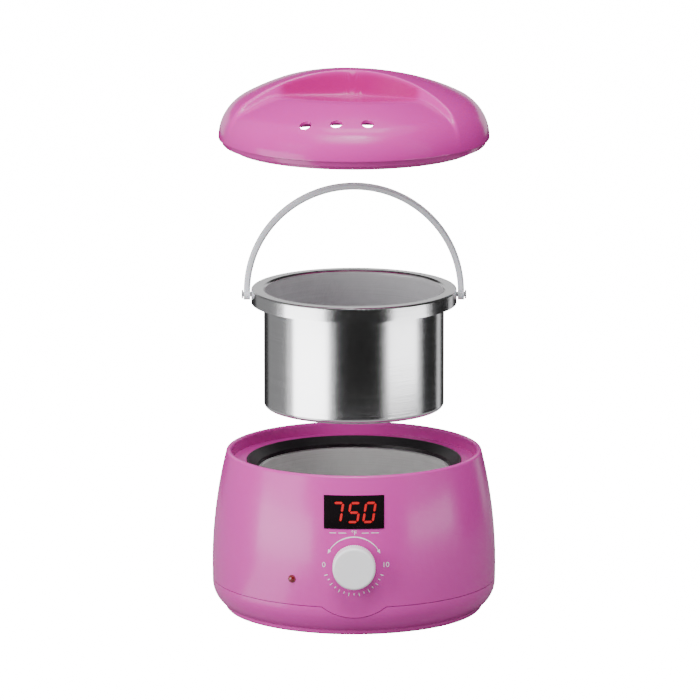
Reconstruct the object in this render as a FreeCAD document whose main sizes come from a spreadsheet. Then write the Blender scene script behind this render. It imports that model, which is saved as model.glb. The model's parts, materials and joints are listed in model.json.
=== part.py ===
"""Wax warmer pot: heated base, lift-out pot with a bail, and a domed lid held above it.

Millimetres, +Z up, front towards -Y, origin on the floor under the middle of the base.
The pot and the lid are stored lifted out of the base, one above the other.
"""
import FreeCAD, Part
import math
import os
from types import SimpleNamespace

import Sketcher

Vector = FreeCAD.Vector
Rotation = FreeCAD.Rotation

DIMENSIONS = {
    # heated base
    "base_height": 107.0, "side_swell": 13.0, "belly_height": 30.0, "rim_wall": 3.41,
    "shell_wall": 2.6, "rim_gap": 9.6, "rim_round": 1.7, "ledge_drop": 7.8,
    "ledge_wall": 2.0, "hole_gap": 2.5, "seam_height": 22.0, "seam_gap": 0.4,
    "toe_height": 5.0, "toe_arc": 18.5, "toe_top": 20.0,
    "foot_inset": 8.9, "foot_lift": 1.5, "plate_wall": 2.4,
    # collar and heated well
    "collar_land": 2.1, "collar_lip": 1.0, "collar_gap": 1.8, "collar_depth": 5.2,
    "well_gap": 2.0, "well_wall": 1.2, "well_lip": 5.0, "heater_wall": 1.4,
    "wrap_wall": 3.2, "heater_low": 17.0, "heater_high": 17.0, "floor_gap": 0.7,
    # pot, bail and lid
    "pot_radius": 59.0, "pot_height": 79.0, "pot_wall": 1.2, "flange_wide": 8.25,
    "flange_height": 9.5, "pot_raise": 106.0, "bail_gap": 0.65, "bail_wide": 4.2,
    "bail_deep": 6.0, "bail_rise": 2.0, "stud_drop": 4.3, "stud_radius": 1.6,
    "lid_over": 8.3, "lip_step": 2.5, "lip_height": 4.0, "lid_crown": 42.0,
    "crown_corner": 23.0, "ridge_crown": 49.0, "ridge_corner": 30.0, "lid_wall": 2.6,
    "ridge_half": 5.0, "scoop_arc": 96.0, "scoop_floor": 32.0, "scoop_tilt": 4.3,
    "vent_radius": 3.6, "vent_pitch": 20.0, "vent_inset": 15.5, "lid_raise": 98.0,
    "lid_yaw": -9.0,
    # front panel and electrics
    "knob_height": 49.8, "knob_radius": 13.9, "knob_deep": 10.5, "tip_height": 15.0,
    "window_drop": 12.25, "window_wide": 38.8, "window_tall": 21.1, "digit_tall": 13.6,
    "lamp_angle": 25.7, "lamp_height": 39.0, "inlet_height": 38.0, "inlet_wide": 24.0,
    "inlet_tall": 15.0, "screw_inset": 17.7, "foot_gap": 13.5, "board_wide": 70.0,
    "board_deep": 50.0, "board_lift": 9.4, "clearance": 0.3,
}

# sizes that follow another piece, as cell formulas
FITS = {
    "flange_radius": "pot_radius + flange_wide",
    "bail_inner": "flange_radius + bail_gap",
    "well_radius": "pot_radius + well_gap",
    "well_rim": "well_radius + well_lip",
    "well_deep": "pot_height + floor_gap - flange_height - collar_depth",
    "heater_tall": "well_deep - heater_low - heater_high",
    "collar_inner": "well_radius + collar_gap",
    "ledge_hole": "well_rim + hole_gap",
    "collar_radius": "ledge_hole + collar_land",
    "rim_inner": "collar_radius + rim_gap",
    "belly_radius": "rim_inner + side_swell",
    "side_lean": "side_swell - rim_wall",
    "side_arc": "((base_height - belly_height) ^ 2 + side_lean ^ 2) / (2 * side_lean)",
    "foot_radius": "belly_radius - foot_inset",
    "screw_ring": "belly_radius - screw_inset",
    "foot_ring": "screw_ring - foot_gap",
    "lid_radius": "rim_inner + lid_over",
    "lid_lip": "lid_radius - lip_step",
    "vent_front": "lid_radius - vent_inset",
    "dial_radius": "knob_height - tip_height",
    "window_height": "base_height - window_drop - window_tall / 2",
}

doc = FreeCAD.newDocument("wax_warmer_pot")
NODES = []


class Size:
    """A number together with the sheet expression that gives it."""

    def __init__(self, value, text):
        self.value = value
        self.text = text

    def join(self, other, sign, value):
        return Size(value, "(%s %s %s)" % (self.text, sign, other.text))

    def __add__(self, other):
        other = size(other)
        return self.join(other, "+", self.value + other.value)

    def __sub__(self, other):
        other = size(other)
        return self.join(other, "-", self.value - other.value)

    def __mul__(self, other):
        other = size(other)
        return self.join(other, "*", self.value * other.value)

    def __truediv__(self, other):
        other = size(other)
        return self.join(other, "/", self.value / other.value)

    def __neg__(self):
        return size(0) - self

    def __radd__(self, other):
        return size(other) + self

    def __rsub__(self, other):
        return size(other) - self

    def __rmul__(self, other):
        return size(other) * self


def size(number):
    """Return a Size for a plain number, or the Size itself."""
    return number if isinstance(number, Size) else Size(float(number), "(%r)" % float(number))


def root(amount):
    return Size(math.sqrt(amount.value), "sqrt(%s)" % amount.text)


def cosine(degrees):
    degrees = size(degrees)
    return Size(math.cos(math.radians(degrees.value)), "cos(%s)" % degrees.text)


def sine(degrees):
    degrees = size(degrees)
    return Size(math.sin(math.radians(degrees.value)), "sin(%s)" % degrees.text)


def make_sheet():
    """Write the dimensions and the fits into a spreadsheet and return them as Sizes."""
    sheet = doc.addObject("Spreadsheet::Sheet", "Dims")
    cells = {**DIMENSIONS, **{name: "=" + formula for name, formula in FITS.items()}}
    for row, (name, content) in enumerate(cells.items(), start=1):
        sheet.set("A%d" % row, name)
        sheet.set("B%d" % row, str(content))
        sheet.setAlias("B%d" % row, name)
    doc.recompute()
    return SimpleNamespace(**{name: Size(float(sheet.get(name)), "Dims.%s" % name)
                              for name in cells})


d = make_sheet()


def keep(feature, name):
    """Name a finished piece and put it on the list to be written out."""
    feature.Label = name
    NODES.append(feature)
    return feature


def bind(feature, **sizes):
    """Drive properties of a feature from the sheet."""
    for prop, amount in sizes.items():
        setattr(feature, prop, size(amount).value)
        feature.setExpression(prop, size(amount).text)
    return feature


def place(feature, x=0, y=0, z=0, axis=None, turn=0):
    """Put a feature at a driven position, turned about an axis."""
    x, y, z = size(x), size(y), size(z)
    spin = Rotation(axis, size(turn).value) if axis is not None else Rotation()
    feature.Placement = FreeCAD.Placement(Vector(x.value, y.value, z.value), spin)
    for letter, amount in (("x", x), ("y", y), ("z", z)):
        feature.setExpression("Placement.Base.%s" % letter, amount.text)
    if isinstance(turn, Size):
        feature.setExpression("Placement.Rotation.Angle", turn.text)
    return feature


ALONG = {"z": (None, 0), "y": (Vector(1, 0, 0), -90), "-y": (Vector(1, 0, 0), 90),
         "x": (Vector(0, 1, 0), 90)}


def rod(label, radius, length, x=0, y=0, z=0, along="z"):
    """A cylinder whose start lies at (x, y, z) and which runs along one axis."""
    axis, turn = ALONG[along]
    feature = doc.addObject("Part::Cylinder", label)
    bind(feature, Radius=radius, Height=length)
    return place(feature, x, y, z, axis, turn)


def box(label, wide, deep, tall, x=0, y=0, z=0):
    """A box centred on x and y, standing on z."""
    feature = doc.addObject("Part::Box", label)
    bind(feature, Length=wide, Width=deep, Height=tall)
    return place(feature, size(x) - size(wide) / 2, size(y) - size(deep) / 2, z)


def fuse(label, *shapes):
    feature = doc.addObject("Part::MultiFuse", label)
    feature.Shapes = list(shapes)
    return feature


def cut(label, base, *tools):
    feature = doc.addObject("Part::Cut", label)
    feature.Base = base
    feature.Tool = tools[0] if len(tools) == 1 else fuse(label + "_tools", *tools)
    return feature


def common(label, base, tool):
    feature = doc.addObject("Part::Common", label)
    feature.Base = base
    feature.Tool = tool
    return feature


def group(label, *shapes):
    feature = doc.addObject("Part::Compound", label)
    feature.Links = list(shapes)
    return feature


def turned(label, feature, degrees):
    """A copy of a feature turned about the Z axis of the object."""
    degrees = size(degrees)
    copy = doc.addObject("Part::Compound", label)
    copy.Links = [feature]
    copy.Placement = FreeCAD.Placement(Vector(), Rotation(Vector(0, 0, 1), degrees.value))
    copy.setExpression("Placement.Rotation.Angle", degrees.text)
    return copy


def polar(x_radius, degrees):
    """Driven x and y of a point on a circle about the Z axis."""
    return size(x_radius) * cosine(degrees), size(x_radius) * sine(degrees)


def arc_centre(start, end, radius, left):
    """Centre of the arc from start to end that curves round its left or right side."""
    middle = (start + end) * 0.5
    half = (end - start) * 0.5
    reach = math.sqrt(max(radius ** 2 - half.Length ** 2, 0.0))
    side = Vector(-half.y, half.x, 0).normalize()
    return middle + side * (reach if left else -reach)


def new_sketch(body, role, label, offset=0):
    """A sketch on one origin plane of a body, moved along its normal."""
    sketch = body.newObject("Sketcher::SketchObject", label)
    plane = [f for f in body.Origin.OriginFeatures if f.Role == role][0]
    sketch.AttachmentSupport = [(plane, "")]
    sketch.MapMode = "FlatFace"
    offset = size(offset)
    sketch.AttachmentOffset = FreeCAD.Placement(Vector(0, 0, offset.value), Rotation())
    sketch.setExpression("AttachmentOffset.Base.z", offset.text)
    return sketch


def fix_point(sketch, edge, end, x, y):
    for kind, amount in (("DistanceX", x), ("DistanceY", y)):
        index = sketch.addConstraint(Sketcher.Constraint(kind, edge, end, amount.value))
        if "Dims" in amount.text:
            sketch.setExpression("Constraints[%d]" % index, amount.text)


def fix_arc(sketch, edge, start, end, radius):
    """Give an arc its radius, or its centre line where it is an exact half circle."""
    run, rise = end[0].value - start[0].value, end[1].value - start[1].value
    if abs(math.hypot(run, rise) / 2 - radius.value) > 1e-6:
        kind, amount = "Radius", radius
        index = sketch.addConstraint(Sketcher.Constraint(kind, edge, amount.value))
    else:
        kind, amount = ("DistanceX", start[0]) if abs(run) < 1e-6 else ("DistanceY", start[1])
        index = sketch.addConstraint(Sketcher.Constraint(kind, edge, 3, amount.value))
    sketch.setExpression("Constraints[%d]" % index, amount.text)


def outline(sketch, corners):
    """Draw a closed outline; a corner may carry (radius, left) for the arc that leaves it."""
    points = [(size(c[0]), size(c[1])) for c in corners]
    edges = []
    for i, corner in enumerate(corners):
        here, there = points[i], points[(i + 1) % len(points)]
        start, end = Vector(here[0].value, here[1].value), Vector(there[0].value, there[1].value)
        if len(corner) == 2:
            edges.append(sketch.addGeometry(Part.LineSegment(start, end), False))
            continue
        radius, left = size(corner[2]), corner[3]
        centre = arc_centre(start, end, radius.value, left)
        first, last = (start, end) if left else (end, start)
        begin = math.atan2(first.y - centre.y, first.x - centre.x)
        finish = math.atan2(last.y - centre.y, last.x - centre.x)
        circle = Part.Circle(centre, Vector(0, 0, 1), radius.value)
        edges.append(sketch.addGeometry(Part.ArcOfCircle(circle, begin, finish), False))
    arcs = [len(c) > 2 and not c[3] for c in corners]
    for i, edge in enumerate(edges):
        following = (i + 1) % len(edges)
        mine, theirs = (1 if arcs[i] else 2), (2 if arcs[following] else 1)
        sketch.addConstraint(Sketcher.Constraint("Coincident", edge, mine, edges[following], theirs))
        fix_point(sketch, edge, 2 if arcs[i] else 1, *points[i])
        if len(corners[i]) > 2:
            fix_arc(sketch, edge, points[i], points[following], size(corners[i][2]))


def circle(sketch, radius, x=0, y=0):
    x, y, radius = size(x), size(y), size(radius)
    shape = Part.Circle(Vector(x.value, y.value), Vector(0, 0, 1), radius.value)
    edge = sketch.addGeometry(shape, False)
    fix_point(sketch, edge, 3, x, y)
    index = sketch.addConstraint(Sketcher.Constraint("Radius", edge, radius.value))
    sketch.setExpression("Constraints[%d]" % index, radius.text)


def rectangle(sketch, wide, tall, x=0, y=0):
    left, right = size(x) - size(wide) / 2, size(x) + size(wide) / 2
    low, high = size(y) - size(tall) / 2, size(y) + size(tall) / 2
    outline(sketch, [(left, low), (right, low), (right, high), (left, high)])


def new_body(label):
    return doc.addObject("PartDesign::Body", label)


def revolve(label, corners, angle=360):
    """A body turned about the Z axis from corners given as (radius, height)."""
    body = new_body(label)
    sketch = new_sketch(body, "XZ_Plane", label + "_profile")
    outline(sketch, corners)
    feature = body.newObject("PartDesign::Revolution", label + "_turn")
    feature.Profile = sketch
    feature.ReferenceAxis = (sketch, ["V_Axis"])
    feature.Angle = angle
    return body


def pad(body, label, role, draw, length, offset=0, middle=False):
    """Pad what draw() puts into a new sketch."""
    sketch = new_sketch(body, role, label + "_sketch", offset)
    draw(sketch)
    feature = body.newObject("PartDesign::Pad", label)
    feature.Profile = sketch
    feature.Midplane = middle
    return bind(feature, Length=length)


def pocket(body, label, role, draw, length, offset=0, reverse=False, middle=False):
    """Pocket what draw() puts into a new sketch and make sure that it removes material."""
    doc.recompute()
    before = body.Shape.Volume
    sketch = new_sketch(body, role, label + "_sketch", offset)
    draw(sketch)
    feature = body.newObject("PartDesign::Pocket", label)
    feature.Profile = sketch
    feature.Reversed = reverse
    feature.Midplane = middle
    bind(feature, Length=length)
    doc.recompute()
    if body.Shape.Volume >= before - 1e-3:
        raise RuntimeError("%s removes nothing" % label)
    return feature


def round_edges(body, label, radius, chosen):
    """Fillet the edges of a body whose bounding boxes are chosen."""
    doc.recompute()
    base = body.Tip
    names = ["Edge%d" % (i + 1) for i, edge in enumerate(base.Shape.Edges)
             if chosen(edge.BoundBox)]
    feature = body.newObject("PartDesign::Fillet", label)
    feature.Base = (base, names)
    return bind(feature, Radius=radius)


def skin(height, inset=0):
    """Radius of the base's side surface at a height, moved inwards by an inset."""
    inset, height = size(inset), size(height)
    reach = d.side_arc - inset
    rise = height - d.belly_height
    return d.belly_radius - d.side_arc + root(reach * reach - rise * rise)


def front(height, x=0, inset=0):
    """Distance in front of the axis at which the side surface lies, at x and a height."""
    r = skin(height, inset)
    return root(r * r - size(x) * size(x))


# heights that several pieces share
ledge = d.base_height - d.ledge_drop
well_top = ledge - d.collar_depth
pot_seat = ledge
pot_top = pot_seat + d.flange_height
pot_floor = pot_top - d.pot_height
well_floor = pot_floor - d.floor_gap
tip = d.knob_height - d.dial_radius


def make_body_shell():
    """Upper housing: side wall, rounded rim, ledge for the collar, tongue and screw bosses."""
    low = tip - 0.1
    wall, top = d.shell_wall, d.base_height
    under = ledge - d.ledge_wall
    body = revolve("body_skin", [
        (skin(low), low, d.side_arc, True), (skin(top), top), (d.rim_inner, top),
        (d.rim_inner, ledge), (d.ledge_hole, ledge), (d.ledge_hole, under),
        (skin(under, wall), under, d.side_arc - wall, False), (skin(low, wall), low)])
    corner = root(d.dial_radius * d.dial_radius - (d.knob_height - d.seam_height)
                  * (d.knob_height - d.seam_height))
    wide = d.belly_radius + 20

    def under_seam(sketch):
        outline(sketch, [(-wide, d.seam_height), (-corner, d.seam_height, d.dial_radius, True),
                         (corner, d.seam_height), (wide, d.seam_height), (wide, low - 5),
                         (-wide, low - 5)])
    pocket(body, "front_seam", "XZ_Plane", under_seam, wide, offset=wide)
    pocket(body, "rear_seam", "XZ_Plane", lambda s: rectangle(
        s, wide * 2, d.seam_height, 0, d.seam_height / 2), wide, offset=-wide, reverse=True)
    behind = front(d.window_height + d.window_tall / 2, d.window_wide / 2 + 0.5, wall + 2)
    pocket(body, "window_opening", "XZ_Plane", lambda s: rectangle(
        s, d.window_wide + 0.4, d.window_tall + 0.4, 0, d.window_height), wide - behind,
        offset=wide)
    pocket(body, "shaft_opening", "XZ_Plane", lambda s: circle(
        s, 4.8, 0, d.knob_height), 35, offset=wide)
    pocket(body, "inlet_opening", "XZ_Plane", lambda s: rectangle(
        s, d.inlet_wide + 0.4, d.inlet_tall + 0.4, 0, d.inlet_height), 35, offset=-wide,
        reverse=True)
    round_edges(body, "rim_rounding", d.rim_round, lambda b: b.ZMin > top.value - 1e-3)
    bosses, bores = [], []
    for i in range(4):
        x, y = polar(d.screw_ring, 45 + 90 * i)
        base = d.foot_lift + d.plate_wall
        bosses.append(rod("boss_%d" % i, 3.5, under + 0.5 - base, x, y, base))
        bores.append(rod("boss_bore_%d" % i, 1.4, 22, x, y, base))
    for side in (-1, 1):
        start = front(d.window_height, 25, d.shell_wall * 0.5)
        x, reach = size(25 * side), start - board_face
        bosses.append(rod("board_post_%d" % side, 2.5, reach, x, -start, d.window_height, "y"))
        bores.append(rod("board_bore_%d" % side, 1.0, 6, x, -board_face - 6, d.window_height, "y"))
    x, y = polar(d.belly_radius, -90 - d.lamp_angle)
    lamp = rod("lamp_opening", 2.6, 16, x * 0.9, y * 0.9, d.lamp_height, "x")
    lamp.Placement.Rotation = radial_turn(-90 - d.lamp_angle.value)
    bores.append(lamp)
    return keep(cut("body_shell", fuse("body_bossed", body, *bosses), *bores), "body_shell")


def radial_turn(degrees):
    """Rotation that lays a Z cylinder along the radius at an angle."""
    return Rotation(Vector(0, 0, 1), degrees) * Rotation(Vector(0, 1, 0), 90)


def make_lower_shell():
    """Lower band that curves in to the toe, with a locating lip behind the seam."""
    middle = skin(d.toe_top) - d.toe_arc
    toe = d.toe_height
    inner_arc = d.toe_arc - 2.4
    floor = toe + 2.4
    outer_low = middle + root(d.toe_arc * d.toe_arc - (d.toe_top - toe) * (d.toe_top - toe))
    inner_low = middle + root(inner_arc * inner_arc - (d.toe_top - floor) * (d.toe_top - floor))
    lip = skin(d.seam_height, d.shell_wall) - 0.3
    lip_in = lip - 1.8
    bend = d.toe_top - root(inner_arc * inner_arc - (lip_in - middle) * (lip_in - middle))
    top = d.seam_height - d.seam_gap
    hole = d.foot_radius - 2.3
    body = revolve("lower_shell", [
        (hole, toe), (outer_low, toe, d.toe_arc, True), (middle + d.toe_arc, d.toe_top),
        (middle + d.toe_arc, top), (lip, top), (lip, top + 5), (lip_in, top + 5),
        (lip_in, bend, inner_arc, False), (inner_low, floor), (hole, floor)])
    notch = d.dial_radius + d.seam_gap
    wide = d.belly_radius + 20
    pocket(body, "tongue_notch", "XZ_Plane", lambda s: circle(s, notch, 0, d.knob_height),
           35, offset=wide)
    return keep(body, "lower_shell")


def make_foot_plate():
    """Bottom plate with rim, locating ring, vents, foot recesses and board standoffs."""
    low, top = d.foot_lift, d.foot_lift + d.plate_wall
    rim = d.foot_radius
    body = revolve("plate_disc", [
        (0, low), (rim - 1, low), (rim, low + 1), (rim, d.toe_height - 0.2),
        (rim - 2.4, d.toe_height - 0.2), (rim - 2.4, d.toe_height + 2.2),
        (rim - 4.6, d.toe_height + 2.2), (rim - 4.6, top), (0, top)])
    pocket(body, "vent", "XY_Plane", lambda s: rectangle(s, 3, 16, 0, 30), top + 5, offset=-1,
           reverse=True)
    first = body.Tip
    pattern = body.newObject("PartDesign::PolarPattern", "vents")
    pattern.Originals = [first]
    pattern.Axis = ([f for f in body.Origin.OriginFeatures if f.Role == "Z_Axis"][0], [""])
    pattern.Angle = 360
    body.Tip = pattern
    pattern.Occurrences = 18
    extra, holes = [], []
    for i in range(4):
        x, y = polar(d.screw_ring, 45 + 90 * i)
        holes.append(rod("plate_hole_%d" % i, 1.9, 6, x, y, 0))
        holes.append(rod("plate_sink_%d" % i, 3.4, 1.6, x, y, low - 0.5))
        fx, fy = polar(d.foot_ring, 45 + 90 * i)
        holes.append(rod("foot_recess_%d" % i, 6.2, 1.3, fx, fy, low - 0.5))
        bx, by = board_corner(i)
        extra.append(rod("standoff_%d" % i, 3, d.board_lift - top + 0.5, bx, by, top - 0.5))
        holes.append(rod("standoff_bore_%d" % i, 1.05, 6, bx, by, d.board_lift - 5))
    return keep(cut("foot_plate", fuse("plate_raised", body, *extra), *holes), "foot_plate")


def board_corner(i):
    """Driven x and y of one fixing hole of the control board."""
    right, rear = (1 if i in (0, 3) else -1), (1 if i < 2 else -1)
    return (d.board_wide / 2 - 4) * right, (d.board_deep / 2 - 4) * rear + 6


def make_collar_and_well():
    """Black collar, the heated well under it and the parts that warm and wrap the well."""
    lip, hole = ledge + d.collar_lip, d.ledge_hole - 0.3
    keep(revolve("collar_ring", [
        (d.collar_inner, well_top), (hole - 3, well_top), (hole, ledge - d.ledge_wall),
        (hole, ledge), (d.collar_radius, ledge), (d.collar_radius, lip - 0.3),
        (d.collar_radius - 0.3, lip), (d.collar_radius - 1.2, lip),
        (d.collar_inner + 0.5, well_top + 2)]), "collar_ring")
    r, w = d.well_radius, d.well_wall
    keep(revolve("heating_well", [
        (0, well_floor - w), (r - 3, well_floor - w, 3 + w, True), (r + w, well_floor + 3),
        (r + w, well_top - w), (d.well_rim, well_top - w), (d.well_rim, well_top),
        (r + 1, well_top), (r, well_top - 1), (r, well_floor + 3, 3, False),
        (r - 3, well_floor), (0, well_floor)]), "heating_well")
    low, high = well_floor + d.heater_low, well_floor + d.heater_low + d.heater_tall
    inner, outer = r + w, r + w + d.heater_wall
    band = revolve("heater_band", [(inner, low), (outer, low), (outer, high), (inner, high)])
    pocket(band, "band_gap", "XZ_Plane", lambda s: rectangle(s, 6, d.heater_tall + 10, 0,
           (low + high) / 2), 50, offset=-(r + 20), reverse=True)
    keep(band, "heater_band")
    ears = [box("band_ear_%d" % s, 1.2, 2.6, 10, 4.2 * s, outer + 1.4, high - 14)
            for s in (-1, 1)]
    bolt = rod("band_bolt", 0.8, 14, -7, outer + 1.4, high - 9, "x")
    keep(fuse("heater_clamp", *ears, bolt), "heater_clamp")
    tabs = [box("heater_tab_%d" % s, 5, 0.8, 9, 10 * s, outer + 0.1, low - 7.5) for s in (-1, 1)]
    cuts = cut("tabs_clear", fuse("tabs_joined", *tabs), band)
    keep(cuts, "heater_tabs")
    wrap = revolve("wrap_ring", [
        (outer + 0.3, low - 2), (outer + d.wrap_wall, low - 2),
        (outer + d.wrap_wall, high + 4), (outer + 0.3, high + 4)])
    pocket(wrap, "wrap_gap", "XZ_Plane", lambda s: rectangle(s, 32, d.heater_tall + 20, 0,
           (low + high) / 2), 50, offset=-(r + 20), reverse=True)
    keep(wrap, "insulation_wrap")


def make_brackets():
    """Three brackets that hang the well from the ledge, and their screws."""
    top = ledge - d.ledge_wall
    brackets, screws = [], []
    foot = well_top - d.well_wall
    for i in range(3):
        degrees = 30 + 120 * i
        lower = box("bracket_low_%d" % i, 6.6, 10, 1.2, d.well_rim + 0.5, 0, foot - 1.2)
        wall = box("bracket_wall_%d" % i, 1.2, 10, top - foot + 1.2, d.well_rim + 3.2, 0, foot - 1.2)
        upper = box("bracket_top_%d" % i, 8, 10, 1.2, d.well_rim + 6.6, 0, top - 1.2)
        brackets.append(turned("bracket_turn_%d" % i, fuse("bracket_%d" % i, lower, wall, upper),
                               degrees))
        head = rod("bracket_head_%d" % i, 2.6, 1.6, d.well_rim + 7.5, 0, top - 2.8)
        screws.append(turned("bracket_screw_%d" % i, head, degrees))
    keep(group("well_brackets", *brackets), "well_brackets")
    keep(group("bracket_screws", *screws), "bracket_screws")


def make_thermostat():
    """Thermostat behind the knob with its nut, probe tube, bulb and clip."""
    z = d.knob_height
    wall = front(z + 12, 13, d.shell_wall) - 0.4
    body = box("thermostat_can", 26, 14, 24, 0, -(wall - 7), z - 12)
    neck = rod("thermostat_neck", 4.5, front(z) + 5.2 - wall, 0, -(front(z) + 5.2), z, "y")
    bore = rod("thermostat_bore", 3.4, front(z) + 15 - wall, 0, -(front(z) + 6), z, "y")
    keep(cut("thermostat_body", fuse("thermostat_solid", body, neck), bore), "thermostat_body")
    nut = new_body("thermostat_nut")
    points = [polar(7.0, 60 * i) for i in range(6)]
    pad(nut, "nut_pad", "XZ_Plane", lambda s: outline(
        s, [(x, y + z) for x, y in points]), 3, offset=front(z) + 0.6)
    pocket(nut, "nut_bore", "XZ_Plane", lambda s: circle(s, 4.5, 0, z), 12, offset=front(z) + 6)
    keep(nut, "thermostat_nut")
    level = well_floor - d.well_wall - 3.4
    start = wall - 9
    dip = d.board_lift + 6
    tube = wire("probe_tube", "YZ_Plane", 8, 1.1, 4,
                [(-start, z - 12), (-start, dip), (-30, dip), (-30, level), (-20, level)])
    bulb = rod("probe_bulb", 3, 42, 8, -20, level, "y")
    keep(fuse("thermostat_probe", tube, bulb), "thermostat_probe")
    strap = box("clip_strap", 16, 6, 1, 8, 2, level - 4)
    posts = [box("clip_post_%d" % s, 1, 6, 7.4, 8 + 3.6 * s, 2, level - 4) for s in (-1, 1)]
    keep(fuse("probe_clip", strap, *posts), "probe_clip")
    fuse_body = rod("fuse_can", 2, 12, -14, -6, level + 1.2, "y")
    fuse_clip = box("fuse_clip", 8, 5, 1.4, -14, 0, level + 2)
    keep(fuse("thermal_fuse", fuse_body, fuse_clip), "thermal_fuse")


def wire(label, role, offset, radius, bend, points):
    """A round wire along straight runs joined by tangent arcs; it starts vertically."""
    body = new_body(label)
    path = new_sketch(body, role, label + "_path", offset)
    points = [(size(x), size(y)) for x, y in points]
    ends = []
    for i, point in enumerate(points):
        if i in (0, len(points) - 1):
            ends.append([point])
            continue
        near = []
        for other in (points[i - 1], points[i + 1]):
            along_x = other[0].value - point[0].value
            along_y = other[1].value - point[1].value
            step_x = bend if along_x > 1e-6 else (-bend if along_x < -1e-6 else 0)
            step_y = bend if along_y > 1e-6 else (-bend if along_y < -1e-6 else 0)
            near.append((point[0] + step_x, point[1] + step_y))
        ends.append(near)
    last = None
    for i in range(len(points) - 1):
        start, end = ends[i][-1], ends[i + 1][0]
        line = path.addGeometry(Part.LineSegment(
            Vector(start[0].value, start[1].value), Vector(end[0].value, end[1].value)), False)
        fix_point(path, line, 1, *start)
        fix_point(path, line, 2, *end)
        if last is not None:
            add_bend(path, last, line, bend)
        last = line
    doc.recompute()
    along_x = role == "XZ_Plane"
    section = doc.addObject("Part::Circle", label + "_section")
    bind(section, Radius=radius)
    x, z = points[0]
    place(section, *((x, -size(offset), z) if along_x else (offset, x, z)))
    sweep = doc.addObject("Part::Sweep", label + "_sweep")
    sweep.Sections = [section]
    sweep.Spine = (path, ["Edge%d" % (i + 1) for i in range(len(path.Shape.Edges))])
    sweep.Solid = True
    return sweep


def add_bend(path, before, after, bend):
    """Join two drawn lines with a tangent arc of the bend radius."""
    a, b = path.Geometry[before].EndPoint, path.Geometry[after].StartPoint
    into = (a - path.Geometry[before].StartPoint).normalize()
    out = (path.Geometry[after].EndPoint - b).normalize()
    left = into.cross(out).z > 0
    centre = arc_centre(a, b, bend, left)
    first, last = (a, b) if left else (b, a)
    arc = Part.ArcOfCircle(Part.Circle(centre, Vector(0, 0, 1), bend),
                           math.atan2(first.y - centre.y, first.x - centre.x),
                           math.atan2(last.y - centre.y, last.x - centre.x))
    edge = path.addGeometry(arc, False)
    path.addConstraint(Sketcher.Constraint("Coincident", before, 2, edge, 1 if left else 2))
    path.addConstraint(Sketcher.Constraint("Coincident", after, 1, edge, 2 if left else 1))
    path.addConstraint(Sketcher.Constraint("Radius", edge, bend))


def skin_ring(label, outer_inset, inner_inset, low, high):
    """A ring that follows the side surface between two insets and two heights."""
    return revolve(label, [
        (skin(low, outer_inset), low, d.side_arc - size(outer_inset), True),
        (skin(high, outer_inset), high),
        (skin(high, inner_inset), high, d.side_arc - size(inner_inset), False),
        (skin(low, inner_inset), low)])


def make_display():
    """Window, lit digits, digit module, board and screws of the display."""
    z, half = d.window_height, d.window_tall / 2
    plug = common("window_plug", skin_ring("window_outer", -0.4, d.shell_wall, z - half, z + half),
                  box("window_block", d.window_wide, 60, 60, 0, -d.belly_radius, z - 30))
    flange = common("window_flange", skin_ring(
        "window_inner", d.shell_wall + 0.15, d.shell_wall + 1.4, z - half - 2, z + half + 2),
        box("flange_block", d.window_wide + 4, 60, 60, 0, -d.belly_radius, z - 30))
    keep(fuse("display_lens", plug, flange), "display_lens")
    ring = skin_ring("digit_skin", -0.55, -0.4, z - half, z + half)
    bars = new_body("digit_bars")
    pad(bars, "digit_pad", "XZ_Plane", draw_digits, d.belly_radius + 20)
    keep(common("display_digits", ring, bars), "display_digits")
    face = front(z + half, 17, d.shell_wall + 1.4) - 0.5
    keep(box("display_module", 34, face - board_face, 14, 0, -(face + board_face) / 2, z - 7),
         "display_module")
    board = box("display_sheet", 56, 1.6, 20, 0, -(board_face - 0.8), z - 10)
    holes = [rod("display_hole_%d" % s, 1.3, 6, 25 * s, -board_face - 2, z, "y") for s in (-1, 1)]
    keep(cut("display_board", board, *holes), "display_board")
    screws = []
    for s in (-1, 1):
        head = rod("display_head_%d" % s, 2.2, 1.4, 25 * s, -(board_face - 1.6), z, "y")
        stem = rod("display_stem_%d" % s, 1.0, 6, 25 * s, -(board_face + 4.4), z, "y")
        screws.append(fuse("display_screw_%d" % s, head, stem))
    keep(group("display_screws", *screws), "display_screws")


def draw_digits(sketch):
    """The lit bars of 7, 5 and 0 as slanted seven-segment figures."""
    tall, wide, thick, gap = d.digit_tall, d.digit_tall * 0.56, 1.5, 0.35
    for place_x, lit in ((-12.0, "abc"), (-1.0, "afgcd"), (9.0, "abcdef")):
        for bar in lit:
            draw_bar(sketch, bar, size(place_x) + 1.0, tall, wide, thick, gap)


def draw_bar(sketch, bar, x0, tall, wide, thick, gap):
    """One bar of a figure whose middle is at (x0, window height)."""
    half_w, half_t = wide / 2, thick / 2
    level = {"a": 0.5, "g": 0.0, "d": -0.5}
    if bar in level:
        y = (tall - thick) * level[bar]
        left, right = half_t + gap - half_w, half_w - half_t - gap
        corners = [(left, y), (left + half_t, y - half_t), (right - half_t, y - half_t),
                   (right, y), (right - half_t, y + half_t), (left + half_t, y + half_t)]
    else:
        side = 1 if bar in "bc" else -1
        x = (half_w - half_t) * side
        low = size(gap) if bar in "bf" else (tall - thick) * -0.5 + gap
        high = (tall - thick) * 0.5 - gap if bar in "bf" else size(-gap)
        corners = [(x, low), (x + half_t, low + half_t), (x + half_t, high - half_t), (x, high),
                   (x - half_t, high - half_t), (x - half_t, low + half_t)]
    outline(sketch, [(x0 + size(x) + size(y) * 0.16, size(y) + d.window_height)
                     for x, y in corners])


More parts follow.
